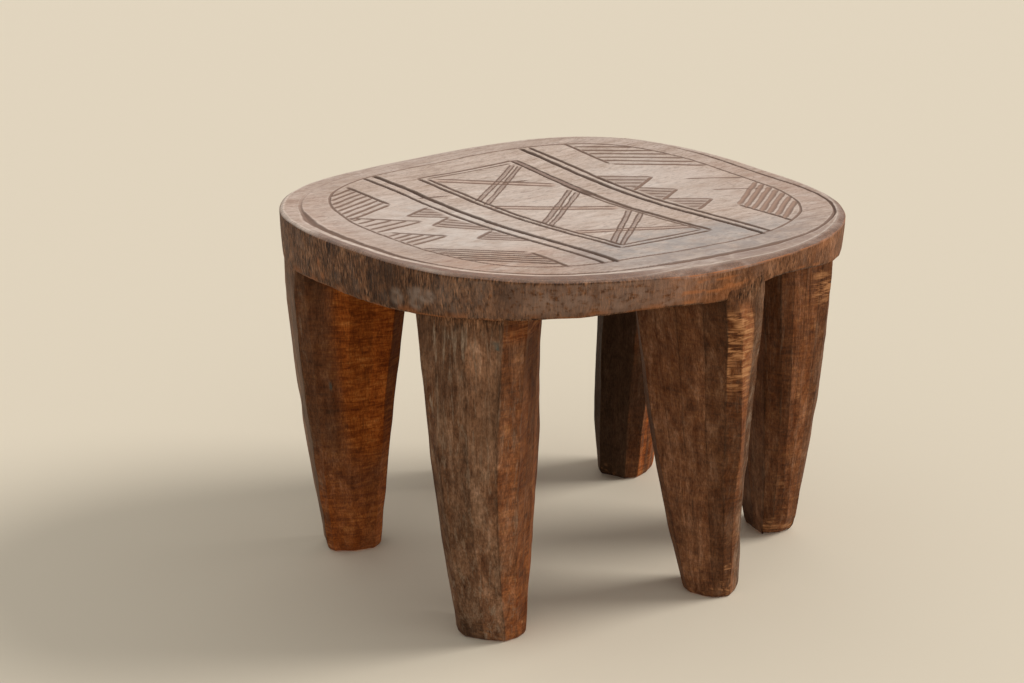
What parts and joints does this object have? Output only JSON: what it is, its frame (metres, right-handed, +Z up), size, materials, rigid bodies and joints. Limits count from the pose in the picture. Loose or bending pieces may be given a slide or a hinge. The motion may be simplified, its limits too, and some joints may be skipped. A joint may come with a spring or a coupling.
{
  "type": "carved stool",
  "caption": "Low carved wooden stool with a dished, bowed seat incised with geometric bands, standing on stout tapering legs set under the rim.",
  "frame": {"origin": "on the floor, under the middle of the seat's outline", "axes": "+X along the seat's longer way, -Y towards the front of the seat, +Z up"},
  "size_m": [0.422, 0.406, 0.2945],
  "materials": {
    "seat_wood": "satin",
    "leg_wood": "satin"
  },
  "bodies": {
    "root": {"seat": "seat_wood", "leg_front_left": "leg_wood", "leg_front_middle": "leg_wood", "leg_front_right": "leg_wood", "leg_back_right": "leg_wood", "leg_back_middle": "leg_wood", "leg_back_left": "leg_wood"}
  },
  "joints": []
}
